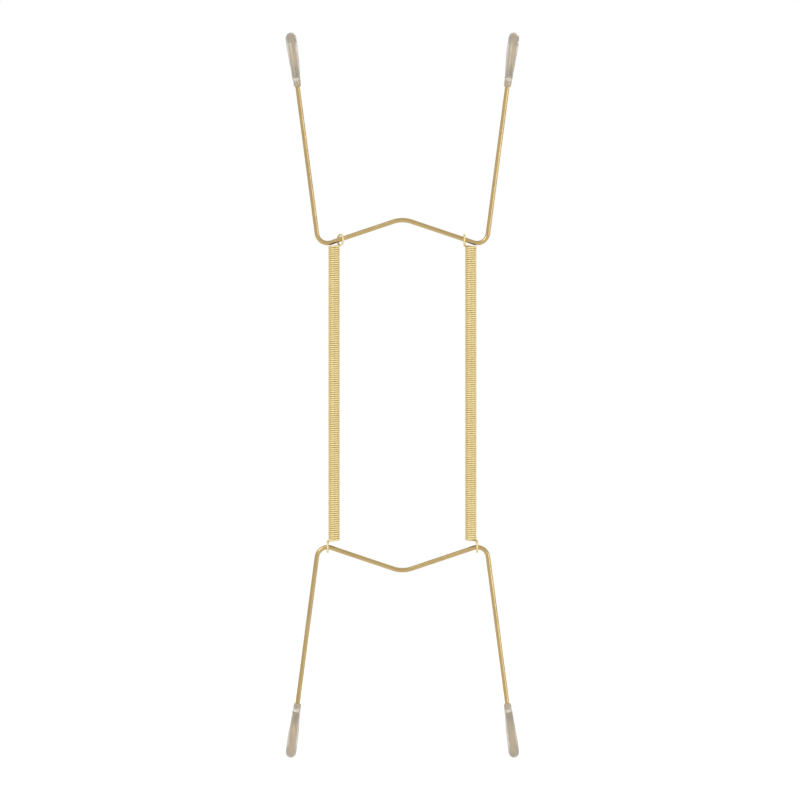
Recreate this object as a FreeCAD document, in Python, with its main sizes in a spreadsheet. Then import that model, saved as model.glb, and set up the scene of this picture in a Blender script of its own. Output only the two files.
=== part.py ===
import FreeCAD, Part
import math
import os
import re
import Sketcher

# Wire plate hanger: two bent wires with soft coated hooks, joined by two close-wound springs.
# The origin is the hang point, under the upper wire's peak. +Z is up, and the hooks face -Y.

DRIVING_SIZES = {
    # Bent wire, the same part above and below
    "wire_diameter": 1.5,
    "corner_span": 55.3,
    "peak_rise": 9.3,
    "peak_bend_radius": 9.5,
    "corner_bend_radius": 3.6,
    "arm_length": 65.2,
    "arm_splay": 7.5,
    "hook_bend_radius": 4.0,
    "hook_turn": 165.0,
    "hook_leg_length": 11.5,
    "peak_distance": 115.5,
    # Soft coat on each hook
    "coat_bend_thickness": 1.0,
    "coat_end_thickness": 0.45,
    "coat_mouth_length": 12.0,
    # Springs and their end loops
    "spring_wire_diameter": 0.7,
    "spring_outer_diameter": 3.9,
    "loop_mean_diameter": 3.7,
    "loop_arc": 320.0,
    "loop_offset": 2.1,
    "loop_bite": 0.3,
    "loop_seat_gap": 0.5,
    "turned_loop_angle": 30.0,
}

# Worked out from the driving sizes. Heights are measured from the hang point.
DERIVED_SIZES = {
    "wire_radius": "wire_diameter / 2",
    "peak_slope": "atan(peak_rise / (corner_span / 2)) / 1deg",
    "peak_height": "wire_radius + peak_bend_radius * (1 / cos(peak_slope) - 1)",
    "corner_height": "peak_height - peak_rise",
    "corner_turn": "90 + peak_slope - arm_splay",
    "corner_tangent": "corner_bend_radius * tan(corner_turn / 2)",
    "corner_seat_x": "corner_span / 2 - corner_tangent * cos(peak_slope)"
                     " + corner_bend_radius * sin(peak_slope)",
    "corner_seat_height": "corner_height + corner_tangent * sin(peak_slope)"
                          " + corner_bend_radius * (cos(peak_slope) - 1)",
    "hook_start_x": "corner_span / 2 + arm_length * sin(arm_splay)",
    "hook_start_height": "corner_height + arm_length * cos(arm_splay)",
    "lower_origin_height": "2 * wire_radius - peak_distance",
    "coat_bend_radius": "wire_radius + coat_bend_thickness",
    "coat_end_radius": "wire_radius + coat_end_thickness",
    "leg_start_y": "hook_bend_radius * (cos(hook_turn) - 1)",
    "leg_start_z": "hook_bend_radius * sin(hook_turn)",
    "leg_end_y": "leg_start_y - hook_leg_length * sin(hook_turn)",
    "leg_end_z": "leg_start_z + hook_leg_length * cos(hook_turn)",
    "loop_radius": "loop_mean_diameter / 2",
    "strand_radius": "spring_wire_diameter / 2",
    "loop_hang": "loop_radius - strand_radius - wire_radius - loop_seat_gap",
    "coil_reach": "loop_radius + strand_radius - loop_bite",
    "spring_x": "corner_seat_x - loop_offset",
    "upper_loop_x": "spring_x - loop_offset",
    "upper_loop_height": "peak_height - upper_loop_x * tan(peak_slope) - loop_hang",
    "lower_loop_height": "lower_origin_height - corner_seat_height + loop_hang",
    "coil_top": "upper_loop_height - coil_reach",
    "coil_bottom": "lower_loop_height + coil_reach",
    "coil_length": "coil_top - coil_bottom",
}

SHEET_NAMES = {name: f"Sizes.{name}" for name in [*DRIVING_SIZES, *DERIVED_SIZES]}

# Signs of the two sides, as formulas write them
LEFT, RIGHT = "-1", "1"
QUARTER_TURN, HALF_TURN = 90.0, 180.0
# Flats that stand for each round section, within a tenth of a millimetre of it
WIRE_FLATS, COAT_FLATS, STRAND_FLATS = 10, 10, 6
# Slopes at which the coat's end is drawn in
DOME_SLOPES = (50,)
X_AXIS = FreeCAD.Vector(1, 0, 0)
Y_AXIS = FreeCAD.Vector(0, 1, 0)
Z_AXIS = FreeCAD.Vector(0, 0, 1)

doc = FreeCAD.newDocument("wire_plate_hanger")
sheet = doc.addObject("Spreadsheet::Sheet", "Sizes")


def fill_sheet():
    """One row for each size: its name, then its number or its formula."""
    row = 0
    for name, value in {**DRIVING_SIZES, **DERIVED_SIZES}.items():
        row += 1
        formula = f"={value}" if name in DERIVED_SIZES else str(value)
        sheet.set(f"A{row}", name)
        sheet.set(f"B{row}", formula)
        sheet.setAlias(f"B{row}", name)
    doc.recompute()


def size(name):
    """The sheet's present value of a size."""
    return float(sheet.get(name))


def bind(target, **formulas):
    """Binds properties to formulas over the sheet; two underscores stand for a dot."""
    for path, formula in formulas.items():
        over_sheet = re.sub(r"[a-z_]+", lambda word: SHEET_NAMES.get(word[0], word[0]), formula)
        target.setExpression(path.replace("__", "."), over_sheet)


def turned_about(axis, degrees):
    """A placement at the origin, turned about an axis."""
    return FreeCAD.Placement(FreeCAD.Vector(), FreeCAD.Rotation(axis, degrees))


def origin_plane(body, role):
    """One of a body's own origin planes."""
    return next(p for p in body.Origin.OriginFeatures if p.Role == role)


def new_sketch(body, name, role):
    """An empty sketch on one of the body's origin planes."""
    sketch = body.newObject("Sketcher::SketchObject", name)
    sketch.AttachmentSupport = (origin_plane(body, role), [""])
    sketch.MapMode = "FlatFace"
    return sketch


def constrain(sketch, kind, *places, value=None, formula=None):
    """Adds a constraint, and ties its number to the sheet where a formula is given."""
    numbers = () if value is None else (value,)
    index = sketch.addConstraint(Sketcher.Constraint(kind, *places, *numbers))
    if formula:
        bind(sketch, **{f"Constraints[{index}]": formula})


# Points of a sketch's curves, and its two axes, by the numbers that constraints know them by
START, END, CENTRE = range(1, 4)
HORIZONTAL_AXIS, VERTICAL_AXIS = range(-1, -3, -1)
ORIGIN_POINT = (HORIZONTAL_AXIS, START)


def draw_half_wire(body, name):
    """Centreline of half a wire, from its peak round the corner to the foot of the hook."""
    sketch = new_sketch(body, f"{name}_path", "XZ_Plane")
    slope = math.radians(size("peak_slope"))
    splay = math.radians(size("arm_splay"))
    peak_radius = size("peak_bend_radius")
    corner_radius = size("corner_bend_radius")
    tangent = size("corner_tangent")
    corner = FreeCAD.Vector(size("corner_span") / 2, size("corner_height"), 0)
    along_leg = FreeCAD.Vector(math.cos(slope), -math.sin(slope), 0)
    along_arm = FreeCAD.Vector(math.sin(splay), math.cos(splay), 0)
    peak_centre = FreeCAD.Vector(0, size("wire_radius") - peak_radius, 0)
    seat = FreeCAD.Vector(size("corner_seat_x"), size("corner_seat_height"), 0)
    corner_centre = seat + Y_AXIS * corner_radius
    leg_start = peak_centre + FreeCAD.Vector(math.sin(slope), math.cos(slope), 0) * peak_radius
    leg_end = corner - along_leg * tangent
    arm_start = corner + along_arm * tangent
    arm_end = corner + along_arm * size("arm_length")
    quarter = math.radians(QUARTER_TURN)
    peak_circle = Part.Circle(peak_centre, Z_AXIS, peak_radius)
    corner_circle = Part.Circle(corner_centre, Z_AXIS, corner_radius)
    peak = sketch.addGeometry(Part.ArcOfCircle(peak_circle, quarter - slope, quarter))
    leg = sketch.addGeometry(Part.LineSegment(leg_start, leg_end))
    bend = sketch.addGeometry(Part.ArcOfCircle(corner_circle, -quarter - slope, -splay))
    arm = sketch.addGeometry(Part.LineSegment(arm_start, arm_end))
    constrain(sketch, "PointOnObject", peak, CENTRE, VERTICAL_AXIS)
    constrain(sketch, "PointOnObject", peak, END, VERTICAL_AXIS)
    constrain(sketch, "Tangent", peak, START, leg, START)
    constrain(sketch, "Tangent", leg, END, bend, START)
    constrain(sketch, "Tangent", bend, END, arm, START)
    constrain(sketch, "Radius", peak, value=peak_radius, formula="peak_bend_radius")
    constrain(sketch, "Radius", bend, value=corner_radius, formula="corner_bend_radius")
    constrain(sketch, "DistanceY", *ORIGIN_POINT, peak, END, value=size("wire_radius"),
              formula="wire_radius")
    constrain(sketch, "DistanceX", *ORIGIN_POINT, bend, CENTRE, value=corner_centre.x,
              formula="corner_seat_x")
    constrain(sketch, "DistanceY", bend, CENTRE, *ORIGIN_POINT, value=-corner_centre.y,
              formula="- corner_seat_height - corner_bend_radius")
    constrain(sketch, "DistanceX", *ORIGIN_POINT, arm, END, value=arm_end.x, formula="hook_start_x")
    constrain(sketch, "DistanceY", *ORIGIN_POINT, arm, END, value=arm_end.y, formula="hook_start_height")
    return sketch


def draw_hook(body, name):
    """Centreline of a hook: a bend towards the front, then the leg that runs back along the arm."""
    sketch = new_sketch(body, f"{name}_hook_path", "YZ_Plane")
    sketch.AttachmentOffset = turned_about(X_AXIS, size("arm_splay"))
    bind(sketch, AttachmentOffset__Base__y="hook_start_height", AttachmentOffset__Base__z="hook_start_x",
         AttachmentOffset__Rotation__Angle="arm_splay")
    radius = size("hook_bend_radius")
    leg_start = FreeCAD.Vector(size("leg_start_y"), size("leg_start_z"), 0)
    leg_end = FreeCAD.Vector(size("leg_end_y"), size("leg_end_z"), 0)
    circle = Part.Circle(FreeCAD.Vector(-radius, 0, 0), Z_AXIS, radius)
    bend = sketch.addGeometry(Part.ArcOfCircle(circle, 0, math.radians(size("hook_turn"))))
    leg = sketch.addGeometry(Part.LineSegment(leg_start, leg_end))
    constrain(sketch, "Coincident", bend, START, *ORIGIN_POINT)
    constrain(sketch, "PointOnObject", bend, CENTRE, HORIZONTAL_AXIS)
    constrain(sketch, "Radius", bend, value=radius, formula="hook_bend_radius")
    constrain(sketch, "Tangent", bend, END, leg, START)
    constrain(sketch, "DistanceX", leg, END, *ORIGIN_POINT, value=-leg_end.x, formula="- leg_end_y")
    constrain(sketch, "Distance", leg, value=size("hook_leg_length"), formula="hook_leg_length")
    return sketch


def draw_section(body, name):
    """The wire's section: equal flats with their corners on a circle round the sketch's origin."""
    sketch = new_sketch(body, name, "YZ_Plane")
    radius = size("wire_radius")
    corners = []
    for index in range(WIRE_FLATS):
        turn = math.radians(2 * HALF_TURN * index / WIRE_FLATS)
        corners.append(FreeCAD.Vector(math.cos(turn), math.sin(turn), 0) * radius)
    circle = sketch.addGeometry(Part.Circle(FreeCAD.Vector(), Z_AXIS, radius), True)
    constrain(sketch, "Coincident", circle, CENTRE, *ORIGIN_POINT)
    constrain(sketch, "Diameter", circle, value=2 * radius, formula="wire_diameter")
    sides = [
        sketch.addGeometry(Part.LineSegment(corner, after))
        for corner, after in zip(corners, corners[1:] + corners[:1])
    ]
    for side, after in zip(sides, sides[1:] + sides[:1]):
        constrain(sketch, "Coincident", side, END, after, START)
        constrain(sketch, "PointOnObject", side, END, circle)
    for side in sides[1:]:
        constrain(sketch, "Equal", sides[0], side)
    constrain(sketch, "PointOnObject", sides[0], START, HORIZONTAL_AXIS)
    return sketch


def sweep(body, name, section, path):
    """A section carried along a path."""
    pipe = body.newObject("PartDesign::AdditivePipe", name)
    pipe.Profile = section
    pipe.Spine = path
    return pipe


def make_wire(name):
    """One bent wire: half of it is swept along its centreline, then mirrored."""
    body = doc.addObject("PartDesign::Body", name)
    body.Label = name
    peak_section = draw_section(body, f"{name}_peak_section")
    bind(peak_section, AttachmentOffset__Base__y="wire_radius")
    half = sweep(body, f"{name}_half", peak_section, draw_half_wire(body, name))
    hook_section = draw_section(body, f"{name}_hook_section")
    hook_section.AttachmentOffset = turned_about(-X_AXIS, QUARTER_TURN - size("arm_splay"))
    bind(hook_section, AttachmentOffset__Base__y="hook_start_height",
         AttachmentOffset__Base__z="hook_start_x",
         AttachmentOffset__Rotation__Angle=f"{QUARTER_TURN} - arm_splay")
    hook = sweep(body, f"{name}_hook", hook_section, draw_hook(body, name))
    mirror = body.newObject("PartDesign::Mirrored", f"{name}_mirror")
    mirror.Originals = [half, hook]
    mirror.MirrorPlane = (origin_plane(body, "YZ_Plane"), [""])
    body.Tip = mirror
    return body


def primitive(kind, name, **formulas):
    """A basic shape with its sizes and place bound to the sheet."""
    shape = doc.addObject(f"Part::{kind}", name)
    bind(shape, **formulas)
    return shape


def fuse(name, solids):
    """Several solids joined into one."""
    joined = doc.addObject("Part::MultiFuse", name)
    joined.Shapes = solids
    return joined


def cut(name, solid, tool):
    """A solid with another taken out of it."""
    rest = doc.addObject("Part::Cut", name)
    rest.Base = solid
    rest.Tool = tool
    return rest


def outline(name, flats, radius, place):
    """A round section drawn with equal flats; its place is a formula."""
    return primitive("RegularPolygon", name, Polygon=str(flats), Circumradius=radius,
                     Placement=f"placement({place})")


def loft(name, sections):
    """A solid with straight sides from each section to the next."""
    solid = doc.addObject("Part::Loft", name)
    solid.Sections = sections
    solid.Solid = True
    solid.Ruled = True
    return solid


def revolve(name, section, axis, **formulas):
    """A section carried round an axis."""
    solid = doc.addObject("Part::Revolution", name)
    solid.Source = section
    solid.Axis = axis
    solid.Solid = True
    bind(solid, **formulas)
    return solid


def on_arm(name, flats, radius, below):
    """A section of a tip that stands square to the arm, below the foot of the hook."""
    return outline(name, flats, radius, f"vector(0; 0; - ({below})); rotation({QUARTER_TURN}; 0; 0)")


def on_leg(name, flats, radius, along):
    """A section of a tip that stands square to the hook's leg, at a distance along it."""
    y = f"leg_start_y - ({along}) * sin(hook_turn)"
    z = f"leg_start_z + ({along}) * cos(hook_turn)"
    return outline(name, flats, radius, f"vector(0; {y}; {z}); rotation({QUARTER_TURN}; - hook_turn; 0)")


def follow_hook(name, flats, end_radius, bend_radius, dome):
    """A solid along arm, bend and leg of a hook; a dome's sections follow those of the leg."""
    foot = on_arm(f"{name}_foot", flats, bend_radius, "0")
    mouth = on_arm(f"{name}_mouth", flats, end_radius, "coat_mouth_length")
    arm = loft(f"{name}_arm", [mouth, foot])
    bend = revolve(f"{name}_bend", foot, X_AXIS, Base__y="- hook_bend_radius", Angle="hook_turn")
    leg_start = on_leg(f"{name}_leg_start", flats, bend_radius, "0")
    leg_end = on_leg(f"{name}_leg_end", flats, end_radius, "hook_leg_length")
    leg = loft(f"{name}_leg", [leg_start, leg_end, *dome])
    return fuse(name, [arm, bend, leg])


def make_tip(name, side, is_upper):
    """The soft coat of one hook: thickest on the bend, thin at its mouth, closed over the wire's end."""
    dome = [
        on_leg(f"{name}_dome_{slope}", COAT_FLATS, f"coat_end_radius * cos({slope})",
               f"hook_leg_length + coat_end_radius * sin({slope})")
        for slope in DOME_SLOPES
    ]
    coat = follow_hook(f"{name}_coat", COAT_FLATS, "coat_end_radius", "coat_bend_radius", dome)
    bore = follow_hook(f"{name}_bore", WIRE_FLATS, "wire_radius", "wire_radius", [])
    tip = cut(name, coat, bore)
    tip.Label = name
    tip.Placement = turned_about(Y_AXIS, size("arm_splay"))
    turn = f"{side} * arm_splay" if is_upper else f"{HALF_TURN} - {side} * arm_splay"
    height = "hook_start_height" if is_upper else "lower_origin_height - hook_start_height"
    bind(tip, Placement__Base__x=f"{side} * hook_start_x", Placement__Base__z=height,
         Placement__Rotation__Angle=turn)
    return tip


def make_loop(name, x, height, turn, pitch):
    """An end loop: a ring that rises from the coil's rim, goes round the wire and ends beside the coil."""
    strand = outline(f"{name}_strand", STRAND_FLATS, "strand_radius",
                     f"vector(loop_radius; 0; 0); rotation(0; 0; {QUARTER_TURN})")
    place = f"placement(vector({x}; 0; {height}); rotation({turn}; {pitch}; 0))"
    return revolve(name, strand, Z_AXIS, Angle="loop_arc", Placement=place)


def make_spring(name, side, hand_turn, upper_twist):
    """A close-wound coil, drawn as its wall, with an end loop round each wire."""
    at_bottom = {"Placement__Base__x": f"{side} * spring_x", "Placement__Base__z": "coil_bottom"}
    outer_radius = "spring_outer_diameter / 2"
    coil = primitive("Cylinder", f"{name}_coil", Radius=outer_radius, Height="coil_length", **at_bottom)
    hollow = primitive("Cylinder", f"{name}_hollow", Radius=f"{outer_radius} - spring_wire_diameter",
                       Height="coil_length", **at_bottom)
    wall = cut(f"{name}_wall", coil, hollow)
    upper_loop = make_loop(f"{name}_upper_loop", f"{side} * upper_loop_x", "upper_loop_height",
                           f"{hand_turn} + {upper_twist}", QUARTER_TURN)
    lower_loop = make_loop(f"{name}_lower_loop", f"{side} * corner_seat_x", "lower_loop_height",
                           hand_turn, -QUARTER_TURN)
    spring = fuse(name, [wall, upper_loop, lower_loop])
    spring.Label = name
    return spring


fill_sheet()
upper_wire = make_wire("upper_wire")
lower_wire = make_wire("lower_wire")
lower_wire.Placement = turned_about(Y_AXIS, HALF_TURN)
bind(lower_wire, Placement__Base__z="lower_origin_height")
sub_parts = [
    upper_wire,
    lower_wire,
    make_spring("left_spring", LEFT, 0, "turned_loop_angle"),
    make_spring("right_spring", RIGHT, HALF_TURN, "0"),
    make_tip("upper_left_tip", LEFT, True),
    make_tip("upper_right_tip", RIGHT, True),
    make_tip("lower_left_tip", LEFT, False),
    make_tip("lower_right_tip", RIGHT, False),
]
doc.recompute()

for item in doc.Objects:
    if "Invalid" in item.State or "Error" in item.State:
        raise RuntimeError(f"{item.Name} failed: {item.State}")

os.makedirs("parts", exist_ok=True)
for sub_part in sub_parts:
    shape = sub_part.Shape
    if shape.isNull() or not shape.isValid() or len(shape.Solids) != 1:
        raise RuntimeError(f"{sub_part.Label} is not one sound solid")
    shape.exportStep(os.path.join("parts", f"{sub_part.Label}.step"))
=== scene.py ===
"""Wire plate hanger: two bent brass-plated wires with soft coated hooks, joined by two springs."""

import math
from typing import NamedTuple

import bmesh
import bpy
from bpy.props import FloatProperty, FloatVectorProperty, PointerProperty
from mathutils import Matrix, Quaternion, Vector


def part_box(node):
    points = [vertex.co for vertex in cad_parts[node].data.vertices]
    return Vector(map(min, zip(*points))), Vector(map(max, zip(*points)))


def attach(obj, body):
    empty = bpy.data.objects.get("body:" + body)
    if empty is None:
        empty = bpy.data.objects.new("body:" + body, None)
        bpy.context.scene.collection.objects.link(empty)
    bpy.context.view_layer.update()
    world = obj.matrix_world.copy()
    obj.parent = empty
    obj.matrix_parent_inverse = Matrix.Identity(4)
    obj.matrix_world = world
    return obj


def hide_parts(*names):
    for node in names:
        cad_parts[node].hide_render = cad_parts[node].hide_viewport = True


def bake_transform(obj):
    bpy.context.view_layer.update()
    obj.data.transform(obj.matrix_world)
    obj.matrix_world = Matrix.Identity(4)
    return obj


bl_info = {
    "name": "Wire Plate Hanger",
    "version": (1, 0, 0),
    "blender": (4, 5, 0),
    "location": "3D View > Sidebar > Plate Hanger",
    "description": "Builds a wire plate hanger with coated hooks and coil springs",
    "category": "Add Mesh",
}

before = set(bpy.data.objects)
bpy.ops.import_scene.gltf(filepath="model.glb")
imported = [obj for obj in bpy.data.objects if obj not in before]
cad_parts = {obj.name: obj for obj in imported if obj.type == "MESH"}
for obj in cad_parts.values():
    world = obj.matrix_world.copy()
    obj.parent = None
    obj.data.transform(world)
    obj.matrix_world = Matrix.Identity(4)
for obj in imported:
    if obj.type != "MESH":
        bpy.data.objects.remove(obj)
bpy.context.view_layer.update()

MM = 0.001
FIT = 0.6 * MM  # how far a piece's box may stand off the box of the CAD node that it replaces
X = Vector((1, 0, 0))
Y = Vector((0, 1, 0))
Z = Vector((0, 0, 1))
HALF_TURN_ABOUT_Y = Matrix.Rotation(math.pi, 4, "Y")
HALF_TURN_ABOUT_Z = Matrix.Rotation(math.pi, 4, "Z")
MIRROR_X = Matrix.Diagonal((-1, 1, 1, 1))


def length(name, description, default_mm):
    """A length property, in metres, with its usual value given in millimetres."""
    return FloatProperty(name=name, description=description, default=default_mm * MM, min=0, unit="LENGTH")


def angle(name, description, default_degrees):
    """An angle property with its usual value given in degrees."""
    return FloatProperty(name=name, description=description, default=math.radians(default_degrees),
                         unit="ROTATION")


def linear(hex_colour):
    """An sRGB hex colour as the linear values that shaders use."""
    channels = [int(hex_colour[start:start + 2], 16) / 255 for start in (0, 2, 4)]
    values = [c / 12.92 if c <= 0.04045 else ((c + 0.055) / 1.055) ** 2.4 for c in channels]
    return (*values, 1)


def colour(name, description, default_hex):
    """A colour property with its usual value given as sRGB hex."""
    return FloatVectorProperty(name=name, description=description, default=linear(default_hex), size=4,
                               min=0, max=1, subtype="COLOR")


class WireSizes(bpy.types.PropertyGroup):
    """Sizes of the bent wire, which is the same above and below."""

    diameter: length("Diameter", "Diameter of the wire", 1.5)
    corner_span: length("Corner Span", "Distance between the points where leg and arm would meet", 55.3)
    peak_rise: length("Peak Rise", "Height of the peak above the corners", 9.3)
    peak_radius: length("Peak Bend", "Radius of the bend at the peak", 9.5)
    corner_radius: length("Corner Bend", "Radius of the bend at each corner", 3.6)
    arm_length: length("Arm Length", "Length of an arm from its corner to its hook", 65.2)
    arm_splay: angle("Arm Splay", "Lean of each arm away from upright", 7.5)
    hook_radius: length("Hook Bend", "Radius of the hook's bend", 4.0)
    hook_turn: angle("Hook Turn", "Angle that the hook turns through", 165)
    hook_leg: length("Hook Leg", "Straight length of the hook after its bend", 11.5)
    peak_distance: length("Peak Distance", "Distance between the wires at the two peaks", 115.5)


class CoatSizes(bpy.types.PropertyGroup):
    """Sizes of the soft coat on each hook."""

    bend_thickness: length("Thickness on Bend", "Thickness of the coat on the hook's bend", 1.0)
    end_thickness: length("Thickness at Ends", "Thickness of the coat at its mouth and its domed end", 0.45)
    mouth_length: length("Mouth Length", "Length of arm that the coat covers", 12.0)
    lip: length("Lip", "Length over which the coat rounds off at its mouth", 0.5)
    grip: length("Grip", "How much smaller than the wire the coat's bore is", 0.02)


class SpringSizes(bpy.types.PropertyGroup):
    """Sizes of the springs and of their end loops."""

    wire_diameter: length("Wire Diameter", "Diameter of the spring's wire", 0.7)
    outer_diameter: length("Outer Diameter", "Diameter over the coil", 3.9)
    loop_diameter: length("Loop Diameter", "Mean diameter of an end loop", 3.7)
    loop_arc: angle("Loop Arc", "Angle that an end loop goes round", 320)
    loop_offset: length("Loop Offset", "Distance from the coil's axis to the plane of a loop", 2.1)
    seat_gap: length("Seat Gap", "Free room between a loop and the wire that it hangs on", 0.5)
    lead_drop: length("Lead Drop", "Height of the half turn that leads from a loop into the coil", 0.5)
    turned_loop: angle("Turned Loop", "Twist of the upper left loop, which shows as an open ring", 30)
    turned_over: angle("Twist Over", "Angle of the loop over which that twist comes on", 60)
    turn_height: length("Turn Height", "Height of one turn of the coil at rest", 0.7)


class Finishes(bpy.types.PropertyGroup):
    """Colours of the brass plate and of the soft coats."""

    wire_plate: colour("Wire Plate", "Brass plate on the bent wires", "BAA375")
    wire_thin_plate: colour("Thin Wire Plate", "The same plate where it is thinner", "A68F5F")
    # The springs' colours are the brass plate painted paler than the wires': a painted highlight for the
    # soft light that the close-wound coils catch.
    spring_plate_and_highlight: colour("Spring Plate", "Paler brass plate on the springs", "E2D3A2")
    spring_thin_plate_and_highlight: colour("Thin Spring Plate", "The same plate where it is thinner", "D8C590")
    vinyl: colour("Vinyl", "Clear vinyl of the soft coats", "F0EADF")
    cloudy_vinyl: colour("Cloudy Vinyl", "The same vinyl where it is milkier", "E4DDD0")


def peak_slope(wire):
    """Slope of the legs that run down from the peak."""
    return math.atan2(wire.peak_rise, wire.corner_span / 2)


def peak_height(wire):
    """Height above the hang point at which the two legs' centrelines would meet."""
    return wire.diameter / 2 + wire.peak_radius * (1 / math.cos(peak_slope(wire)) - 1)


def corner_turn(wire):
    """Angle of the bend from a leg into its arm."""
    return math.pi / 2 + peak_slope(wire) - wire.arm_splay


def corner_tangent(wire):
    """Length that the corner's bend takes from the leg and from the arm."""
    return wire.corner_radius * math.tan(corner_turn(wire) / 2)


def corner_seat(wire):
    """The lowest point of the right corner's centreline, where a loop rests."""
    slope = peak_slope(wire)
    tangent = corner_tangent(wire)
    x = wire.corner_span / 2 - tangent * math.cos(slope) + wire.corner_radius * math.sin(slope)
    corner_height = peak_height(wire) - wire.peak_rise
    z = corner_height + tangent * math.sin(slope) + wire.corner_radius * (math.cos(slope) - 1)
    return Vector((x, 0, z))


def arm_direction(wire):
    """Direction of the right arm, from its corner towards its hook."""
    return Vector((math.sin(wire.arm_splay), 0, math.cos(wire.arm_splay)))


def hook_foot(wire):
    """The point of the right arm where its hook begins to bend."""
    corner = Vector((wire.corner_span / 2, 0, peak_height(wire) - wire.peak_rise))
    return corner + arm_direction(wire) * wire.arm_length


def lower_place(wire):
    """Carries the upper wire, and what is on it, to the lower wire's place."""
    return Matrix.Translation(Z * (wire.diameter - wire.peak_distance)) @ HALF_TURN_ABOUT_Y


def eased(share):
    """A share from 0 to 1, made to start and end gently."""
    return share * share * (3 - 2 * share)


class Station(NamedTuple):
    """A place on a line, two directions square to the line there, and the distance walked."""

    place: Vector
    across: Vector
    up: Vector
    walked: float


class Centreline:
    """A walk along straights and bends that notes a station at each step."""

    BEND_STEP = math.radians(4)

    def __init__(self, place, heading):
        self.place = place.copy()
        self.heading = heading.copy()
        self.across = Y.copy()
        self.walked = 0
        self.stations = []
        self.note()

    def note(self):
        """Adds a station here."""
        up = self.heading.cross(self.across)
        self.stations.append(Station(self.place.copy(), self.across.copy(), up, self.walked))

    def go(self, distance, steps=1):
        """Walks straight on."""
        for _ in range(steps):
            self.place += self.heading * (distance / steps)
            self.walked += distance / steps
            self.note()

    def bend(self, radius, turn, towards):
        """Walks round an arc whose centre lies in the given direction."""
        centre = self.place + towards * radius
        axis = self.heading.cross(towards)
        steps = math.ceil(turn / self.BEND_STEP)
        part = Quaternion(axis, turn / steps)
        for _ in range(steps):
            self.place = centre + part @ (self.place - centre)
            self.heading = part @ self.heading
            self.across = part @ self.across
            self.walked += radius * turn / steps
            self.note()


def stations_along(points):
    """Stations along a free curve, each turned no more than the curve itself turns."""
    stations = []
    across = None
    walked = 0
    last = len(points) - 1
    for index, place in enumerate(points):
        heading = (points[min(index + 1, last)] - points[max(index - 1, 0)]).normalized()
        across = across or heading.orthogonal()
        across = (across - heading * across.dot(heading)).normalized()
        if index:
            walked += (place - points[index - 1]).length
        stations.append(Station(place, across, heading.cross(across), walked))
    return stations


def skin(name, rings, sides):
    """A closed, smooth mesh round a row of rings, each a station with a radius.

    Its UV map runs along the line and around it, both in metres.
    """
    mesh = bmesh.new()
    uv_layer = mesh.loops.layers.uv.new("UVMap")
    rows = []
    for station, radius in rings:
        row = []
        for side in range(sides):
            turn = 2 * math.pi * side / sides
            outward = station.across * math.cos(turn) + station.up * math.sin(turn)
            row.append(mesh.verts.new(station.place + outward * radius))
        rows.append(row)
    for index in range(len(rows) - 1):
        near, near_radius = rings[index]
        far, far_radius = rings[index + 1]
        width = 2 * math.pi * max(near_radius, far_radius) / sides
        for side in range(sides):
            after = (side + 1) % sides
            face = mesh.faces.new((
                rows[index][side],
                rows[index][after],
                rows[index + 1][after],
                rows[index + 1][side],
            ))
            face.smooth = True
            places = (
                (near.walked, side * width),
                (near.walked, (side + 1) * width),
                (far.walked, (side + 1) * width),
                (far.walked, side * width),
            )
            for loop, place in zip(face.loops, places):
                loop[uv_layer].uv = place
    mesh.faces.new(rows[0])
    mesh.faces.new(rows[-1])
    bmesh.ops.recalc_face_normals(mesh, faces=mesh.faces)
    data = bpy.data.meshes.new(name)
    mesh.to_mesh(data)
    mesh.free()
    piece = bpy.data.objects.new(name, data)
    bpy.context.scene.collection.objects.link(piece)
    return piece


def settle(piece, node, body, material, place):
    """Carries a finished piece to its place and lets it stand for its CAD node.

    It rides on the body, or on none where no body is given.
    """
    piece.data.transform(place)
    if place.determinant() < 0:
        piece.data.flip_normals()
    low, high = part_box(node)
    points = [vertex.co for vertex in piece.data.vertices]
    for axis in range(3):
        off_low = abs(min(point[axis] for point in points) - low[axis])
        off_high = abs(max(point[axis] for point in points) - high[axis])
        if max(off_low, off_high) > FIT:
            raise ValueError(f"{piece.name} stands off {node} by {off_low:.5f} and {off_high:.5f} m")
    piece.data.materials.append(material)
    if body:
        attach(piece, body)
    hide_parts(node)


def add_node(tree, kind, values=None, **settings):
    """Adds a shader node, sets its properties and gives its input sockets values or links."""
    node = tree.nodes.new(kind)
    for name, value in settings.items():
        setattr(node, name, value)
    for socket, value in (values or {}).items():
        if isinstance(value, bpy.types.NodeSocket):
            tree.links.new(value, node.inputs[socket])
        else:
            node.inputs[socket].default_value = value
    return node


def new_material(name):
    """An empty node material, with its tree and its surface shader."""
    material = bpy.data.materials.new(name)
    material.use_nodes = True
    return material, material.node_tree, material.node_tree.nodes["Principled BSDF"]


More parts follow.
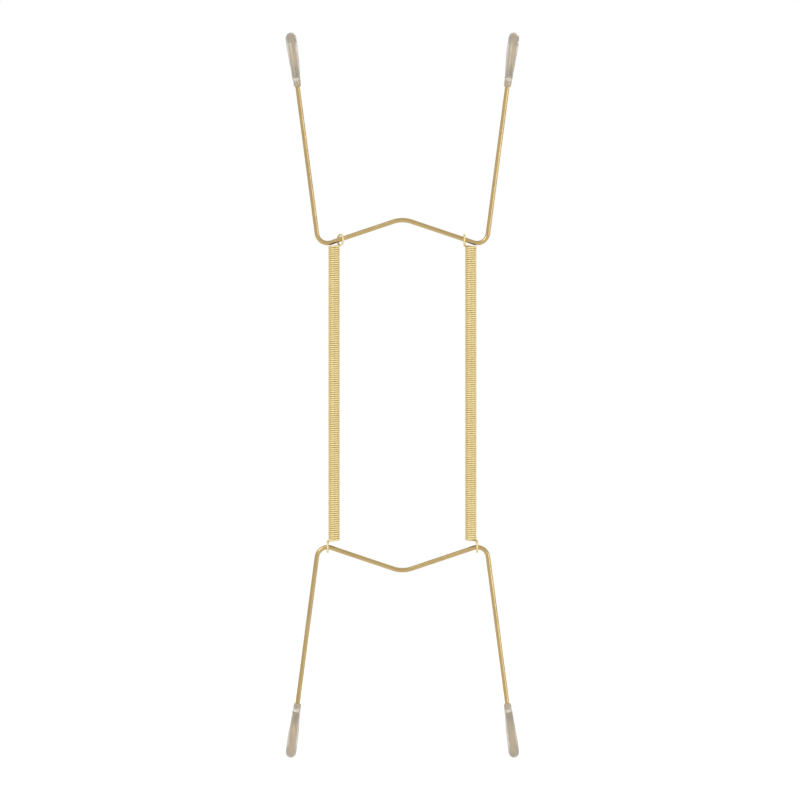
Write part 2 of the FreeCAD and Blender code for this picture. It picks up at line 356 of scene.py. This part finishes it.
def plated_metal(name, plate, thin_plate, roughness):
    """Brass plate over drawn steel wire.

    The eye sees a pale gold with hair-fine lines along the wire, left by the die, and patches where
    the plate is a little thinner and darker.
    """
    material, tree, shader = new_material(name)
    place = add_node(tree, "ShaderNodeTexCoord")
    # The lines are drawn wider and deeper than real ones, so that they show.
    line_length = 9 * MM
    line_width = 0.09 * MM
    line_depth = 0.02 * MM
    line_scale = (1 / line_length, 1 / line_width, 1)
    lines_place = add_node(tree, "ShaderNodeMapping", {"Vector": place.outputs["UV"], "Scale": line_scale})
    lines = add_node(tree, "ShaderNodeTexNoise",
                     {"Vector": lines_place.outputs["Vector"], "Scale": 1, "Detail": 2})
    grooves = add_node(tree, "ShaderNodeBump", {"Height": lines.outputs["Fac"], "Distance": line_depth})
    patch_size = 7 * MM
    patches = add_node(tree, "ShaderNodeTexNoise",
                       {"Vector": place.outputs["Object"], "Scale": 1 / patch_size, "Detail": 3})
    tint = add_node(tree, "ShaderNodeMix",
                    {"Factor": patches.outputs["Fac"], "A": thin_plate, "B": plate},
                    data_type="RGBA")
    smoothest = roughness - 0.06
    roughest = roughness + 0.1
    sheen = add_node(tree, "ShaderNodeMapRange",
                     {"Value": lines.outputs["Fac"], "To Min": smoothest, "To Max": roughest})
    tree.links.new(tint.outputs["Result"], shader.inputs["Base Color"])
    tree.links.new(sheen.outputs["Result"], shader.inputs["Roughness"])
    tree.links.new(grooves.outputs["Normal"], shader.inputs["Normal"])
    shader.inputs["Metallic"].default_value = 1
    return material


def dipped_vinyl(name, vinyl, cloudy_vinyl):
    """Clear vinyl that the hooks were dipped in.

    The eye sees a milky, slightly grey skin with a soft shine, a little wavy where it ran before it
    set, and the brass showing through it.
    """
    material, tree, shader = new_material(name)
    place = add_node(tree, "ShaderNodeTexCoord")
    cloud_size = 2.5 * MM
    wave_depth = 0.25 * MM
    cloud = add_node(tree, "ShaderNodeTexNoise",
                     {"Vector": place.outputs["Object"], "Scale": 1 / cloud_size, "Detail": 2})
    waves = add_node(tree, "ShaderNodeBump", {"Height": cloud.outputs["Fac"], "Distance": wave_depth})
    tint = add_node(tree, "ShaderNodeMix",
                    {"Factor": cloud.outputs["Fac"], "A": cloudy_vinyl, "B": vinyl},
                    data_type="RGBA")
    tree.links.new(tint.outputs["Result"], shader.inputs["Base Color"])
    tree.links.new(waves.outputs["Normal"], shader.inputs["Normal"])
    shader.inputs["Roughness"].default_value = 0.28
    shader.inputs["IOR"].default_value = 1.53
    shader.inputs["Transmission Weight"].default_value = 0.7
    return material


class HANGER_OT_wires(bpy.types.Operator):
    """Builds the two bent wires"""

    bl_idname = "hanger.wires"
    bl_label = "Build Wires"

    SIDES = 24
    ROUGHNESS = 0.26

    def execute(self, context):
        wire = context.scene.hanger_wire
        finish = context.scene.hanger_finish
        material = plated_metal("Brass-plated drawn steel wire", finish.wire_plate,
                                finish.wire_thin_plate, self.ROUGHNESS)
        rings = [(station, wire.diameter / 2) for station in self.stations(wire)]
        places = {"upper_wire": Matrix.Identity(4), "lower_wire": lower_place(wire)}
        for name, place in places.items():
            piece = skin(f"{name}_bent", rings, self.SIDES)
            settle(piece, name, name, material, place)
        return {"FINISHED"}

    def stations(self, wire):
        """The whole wire's stations: the right half as walked from the peak, after its mirror image."""
        slope = peak_slope(wire)
        tangent = corner_tangent(wire)
        leg = wire.corner_span / 2 / math.cos(slope) - wire.peak_radius * math.tan(slope) - tangent
        half = Centreline(Z * (wire.diameter / 2), X)
        half.bend(wire.peak_radius, slope, -Z)
        half.go(leg)
        half.bend(wire.corner_radius, corner_turn(wire), half.heading.cross(half.across))
        half.go(wire.arm_length - tangent)
        half.bend(wire.hook_radius, wire.hook_turn, -half.across)
        half.go(wire.hook_leg)
        mirrored = [
            Station(MIRROR_X @ place, MIRROR_X @ across, MIRROR_X @ up, -walked)
            for place, across, up, walked in reversed(half.stations[1:])
        ]
        return mirrored + half.stations


class HANGER_OT_soft_tips(bpy.types.Operator):
    """Builds the soft coats of the four hooks"""

    bl_idname = "hanger.soft_tips"
    bl_label = "Build Soft Tips"

    SIDES = 32
    LIP_STEPS = 6
    STRAIGHT_STEPS = 12
    DOME_STEPS = 8
    DOME_TURN = math.radians(88)  # just short of the dome's top, which one small face closes

    def execute(self, context):
        wire = context.scene.hanger_wire
        coat = context.scene.hanger_coat
        finish = context.scene.hanger_finish
        material = dipped_vinyl("Clear vinyl, dipped", finish.vinyl, finish.cloudy_vinyl)
        lower = lower_place(wire)
        places = {
            "upper_right_tip": Matrix.Identity(4),
            "upper_left_tip": MIRROR_X,
            "lower_left_tip": lower,
            "lower_right_tip": lower @ MIRROR_X,
        }
        rings = self.rings(wire, coat)
        for name, place in places.items():
            piece = skin(f"{name}_coat", rings, self.SIDES)
            body = "upper_wire" if name.startswith("upper") else "lower_wire"
            settle(piece, name, body, material, place)
        return {"FINISHED"}

    def rings(self, wire, coat):
        """Rings from the end of the bore, out through the mouth, over the coat to its domed end."""
        line = Centreline(hook_foot(wire) - arm_direction(wire) * coat.mouth_length, arm_direction(wire))
        line.go(coat.lip, self.LIP_STEPS)
        line.go(coat.mouth_length - coat.lip, self.STRAIGHT_STEPS)
        line.bend(wire.hook_radius, wire.hook_turn, -Y)
        line.go(wire.hook_leg, self.STRAIGHT_STEPS)
        bore = wire.diameter / 2 - coat.grip
        inside = [(station, bore) for station in reversed(line.stations)]
        outside = [(station, self.radius(wire, coat, station.walked)) for station in line.stations[1:]]
        end, end_radius = outside[-1]
        dome = []
        for step in range(1, self.DOME_STEPS + 1):
            turn = self.DOME_TURN * step / self.DOME_STEPS
            ahead = end_radius * math.sin(turn)
            station = Station(end.place + line.heading * ahead, end.across, end.up, end.walked + ahead)
            dome.append((station, end_radius * math.cos(turn)))
        return inside + outside + dome

    def radius(self, wire, coat, walked):
        """Outer radius of the coat: thin at the mouth, thickest on the bend, thin at the wire's end."""
        bend = wire.hook_radius * wire.hook_turn
        if walked < coat.mouth_length:
            share = walked / coat.mouth_length
        else:
            share = min(1, 1 - (walked - coat.mouth_length - bend) / wire.hook_leg)
        thickness = coat.end_thickness + (coat.bend_thickness - coat.end_thickness) * eased(share)
        from_mouth = min(1, walked / coat.lip)
        rounded = math.sqrt(1 - (1 - from_mouth) ** 2)
        return wire.diameter / 2 - coat.grip + (thickness + coat.grip) * rounded


class HANGER_OT_springs(bpy.types.Operator):
    """Winds the two springs, with a loop round each wire"""

    bl_idname = "hanger.springs"
    bl_label = "Wind Springs"

    SIDES = 10
    STEPS_A_TURN = 26
    LOOP_STEPS = 48
    ROUGHNESS = 0.5

    def execute(self, context):
        wire = context.scene.hanger_wire
        spring = context.scene.hanger_spring
        finish = context.scene.hanger_finish
        # The springs' paler plate colours carry a painted highlight.
        material = plated_metal("Brass-plated spring wire, wound", finish.spring_plate_and_highlight,
                                finish.spring_thin_plate_and_highlight, self.ROUGHNESS)
        seat = corner_seat(wire)
        axis_x = seat.x - spring.loop_offset
        hang = spring.loop_diameter / 2 - spring.wire_diameter / 2 - wire.diameter / 2 - spring.seat_gap
        upper_x = axis_x - spring.loop_offset
        upper = peak_height(wire) - upper_x * math.tan(peak_slope(wire)) - hang
        lower = wire.diameter - wire.peak_distance - seat.z + hang
        for name, side, twist in (("left_spring", -1, spring.turned_loop), ("right_spring", 1, 0)):
            top = upper - spring.loop_diameter / 2
            bottom = lower + spring.loop_diameter / 2
            points = self.upper_loop(spring, upper, twist)
            points += self.coil(spring, top, bottom)
            points += self.lower_loop(spring, lower)
            rings = [(station, spring.wire_diameter / 2) for station in stations_along(points)]
            piece = skin(f"{name}_coil", rings, self.SIDES)
            turned = Matrix.Identity(4) if side < 0 else HALF_TURN_ABOUT_Z
            place = Matrix.Translation(X * side * axis_x) @ turned
            settle(piece, name, None, material, place)
            self.stretch(piece, top, bottom)
        return {"FINISHED"}

    def upper_loop(self, spring, middle, twist):
        """Centreline of a left spring's upper loop about the spring's axis, from its free end on."""
        radius = spring.loop_diameter / 2
        points = []
        for step in range(self.LOOP_STEPS, -1, -1):
            turn = spring.loop_arc * step / self.LOOP_STEPS
            aside = twist * eased(min(1, turn / spring.turned_over))
            reach = radius * math.sin(turn)
            points.append(Vector((
                spring.loop_offset - reach * math.sin(aside),
                reach * math.cos(aside),
                middle - radius * math.cos(turn),
            )))
        return points

    def lower_loop(self, spring, middle):
        """Centreline of the lower loop, on the other side of the axis, to its free end."""
        radius = spring.loop_diameter / 2
        points = []
        for step in range(self.LOOP_STEPS + 1):
            turn = spring.loop_arc * step / self.LOOP_STEPS
            points.append(Vector((
                -spring.loop_offset,
                radius * math.sin(turn),
                middle + radius * math.cos(turn),
            )))
        return points

    def coil(self, spring, top, bottom):
        """Centreline of the coil between its loops, with half a turn that leads in from each loop."""
        coil_radius = (spring.outer_diameter - spring.wire_diameter) / 2
        first = top - spring.lead_drop
        last = bottom + spring.lead_drop
        # The half turn left over puts the lower loop on the other side of the coil from the upper one.
        turns = math.floor((first - last) / spring.turn_height - 0.5) + 0.5
        steps = int(turns * self.STEPS_A_TURN)
        lead = self.STEPS_A_TURN // 2
        points = []
        for step in range(1, steps + 2 * lead):
            wound = min(max(step - lead, 0), steps) / steps
            in_coil = eased(min(step, lead, steps + 2 * lead - step) / lead)
            radius = spring.loop_offset + (coil_radius - spring.loop_offset) * in_coil
            turn = -2 * math.pi * step / self.STEPS_A_TURN
            lift = spring.lead_drop * (1 - in_coil) * (1 if step < lead else -1)
            height = first + (last - first) * wound + lift
            points.append(Vector((radius * math.cos(turn), radius * math.sin(turn), height)))
        return points

    def stretch(self, piece, top, bottom):
        """Bakes the coil's place into its mesh."""
        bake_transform(piece)


class HANGER_OT_stage(bpy.types.Operator):
    """Sets the floor, the lights and the camera"""

    bl_idname = "hanger.stage"
    bl_label = "Set Stage"

    WHITE = linear("FFFFFF")
    FLOOR_PAINT = linear("F6F6F4")
    FLOOR_HEIGHT = -450 * MM
    FLOOR_SIZE = 12000 * MM
    FLOOR_GLOW = 0.4
    WORLD_LIGHT = 0.75
    SOFTBOX_SIZE = 500 * MM
    # Place in metres and power in watts
    SOFTBOXES = {
        "Key softbox": ((-0.8, -1.1, 0.8), 6),
        "Fill softbox": ((1.1, -0.9, 0.1), 3.5),
        "Back softbox": ((0.5, 1.2, 0.7), 1.2),
    }
    AIM = Vector((-0.8 * MM, 0, -58.6 * MM))
    VIEW_WIDTH = 264 * MM
    LENS_MM = 200
    SENSOR_MM = 36

    def execute(self, context):
        self.set_floor()
        self.set_world(context.scene)
        for name, (place, power) in self.SOFTBOXES.items():
            self.add_softbox(name, place, power)
        self.set_camera(context.scene)
        context.scene.view_settings.view_transform = "Standard"
        return {"FINISHED"}

    def set_floor(self):
        """A plain pale floor that shows as white except where a shadow falls on it."""
        half = self.FLOOR_SIZE / 2
        corners = ((-half, -half), (half, -half), (half, half), (-half, half))
        data = bpy.data.meshes.new("Floor")
        data.from_pydata([(x, y, self.FLOOR_HEIGHT) for x, y in corners], [], [(0, 1, 2, 3)])
        floor = bpy.data.objects.new("Floor", data)
        bpy.context.scene.collection.objects.link(floor)
        material, tree, shader = new_material("Pale painted floor")
        glow = add_node(tree, "ShaderNodeMapRange", {"Value": self.seen(tree), "To Max": self.FLOOR_GLOW})
        tree.links.new(glow.outputs["Result"], shader.inputs["Emission Strength"])
        shader.inputs["Emission Color"].default_value = self.WHITE
        shader.inputs["Base Color"].default_value = self.FLOOR_PAINT
        shader.inputs["Roughness"].default_value = 0.8
        data.materials.append(material)

    def set_world(self, scene):
        """White where it is seen, and softer as a light."""
        world = bpy.data.worlds.new("White studio")
        world.use_nodes = True
        scene.world = world
        tree = world.node_tree
        strength = add_node(tree, "ShaderNodeMapRange",
                            {"Value": self.seen(tree), "To Min": self.WORLD_LIGHT, "To Max": 1})
        background = tree.nodes["Background"]
        background.inputs["Color"].default_value = self.WHITE
        tree.links.new(strength.outputs["Result"], background.inputs["Strength"])

    def seen(self, tree):
        """One for a ray that shows the background: straight, through what is clear or in what shines."""
        rays = add_node(tree, "ShaderNodeLightPath")
        straight_or_through = add_node(
            tree, "ShaderNodeMath",
            {0: rays.outputs["Is Camera Ray"], 1: rays.outputs["Is Transmission Ray"]},
            operation="MAXIMUM")
        any_way = add_node(
            tree, "ShaderNodeMath",
            {0: straight_or_through.outputs["Value"], 1: rays.outputs["Is Glossy Ray"]},
            operation="MAXIMUM")
        return any_way.outputs["Value"]

    def add_softbox(self, name, place, power):
        """A square softbox aimed at the middle of the object."""
        data = bpy.data.lights.new(name, "AREA")
        data.size = self.SOFTBOX_SIZE
        data.energy = power
        light = bpy.data.objects.new(name, data)
        light.location = place
        light.rotation_euler = (self.AIM - light.location).to_track_quat("-Z", "Y").to_euler()
        bpy.context.scene.collection.objects.link(light)

    def set_camera(self, scene):
        """Straight in front of the object, with a long lens."""
        data = bpy.data.cameras.new("Camera")
        data.lens = self.LENS_MM
        data.sensor_width = self.SENSOR_MM
        camera = bpy.data.objects.new("Camera", data)
        camera.location = self.AIM - Y * (self.VIEW_WIDTH * self.LENS_MM / self.SENSOR_MM)
        camera.rotation_euler = (math.pi / 2, 0, 0)
        scene.collection.objects.link(camera)
        scene.camera = camera


class VIEW3D_PT_plate_hanger(bpy.types.Panel):
    """Sizes of the hanger, and the steps that build it"""

    bl_label = "Plate Hanger"
    bl_idname = "VIEW3D_PT_plate_hanger"
    bl_space_type = "VIEW_3D"
    bl_region_type = "UI"
    bl_category = "Plate Hanger"

    def draw(self, context):
        scene = context.scene
        for group in (scene.hanger_wire, scene.hanger_coat, scene.hanger_spring, scene.hanger_finish):
            box = self.layout.box()
            for name in group.__annotations__:
                box.prop(group, name)
        for operator in STEPS:
            self.layout.operator(operator.bl_idname)


STEPS = (HANGER_OT_wires, HANGER_OT_soft_tips, HANGER_OT_springs, HANGER_OT_stage)
CLASSES = (WireSizes, CoatSizes, SpringSizes, Finishes, *STEPS, VIEW3D_PT_plate_hanger)


def register():
    for cls in CLASSES:
        bpy.utils.register_class(cls)
    bpy.types.Scene.hanger_wire = PointerProperty(type=WireSizes)
    bpy.types.Scene.hanger_coat = PointerProperty(type=CoatSizes)
    bpy.types.Scene.hanger_spring = PointerProperty(type=SpringSizes)
    bpy.types.Scene.hanger_finish = PointerProperty(type=Finishes)


def unregister():
    del bpy.types.Scene.hanger_finish
    del bpy.types.Scene.hanger_spring
    del bpy.types.Scene.hanger_coat
    del bpy.types.Scene.hanger_wire
    for cls in reversed(CLASSES):
        bpy.utils.unregister_class(cls)


def main():
    register()
    bpy.ops.hanger.wires()
    bpy.ops.hanger.soft_tips()
    bpy.ops.hanger.springs()
    bpy.ops.hanger.stage()


if __name__ == "__main__":
    main()
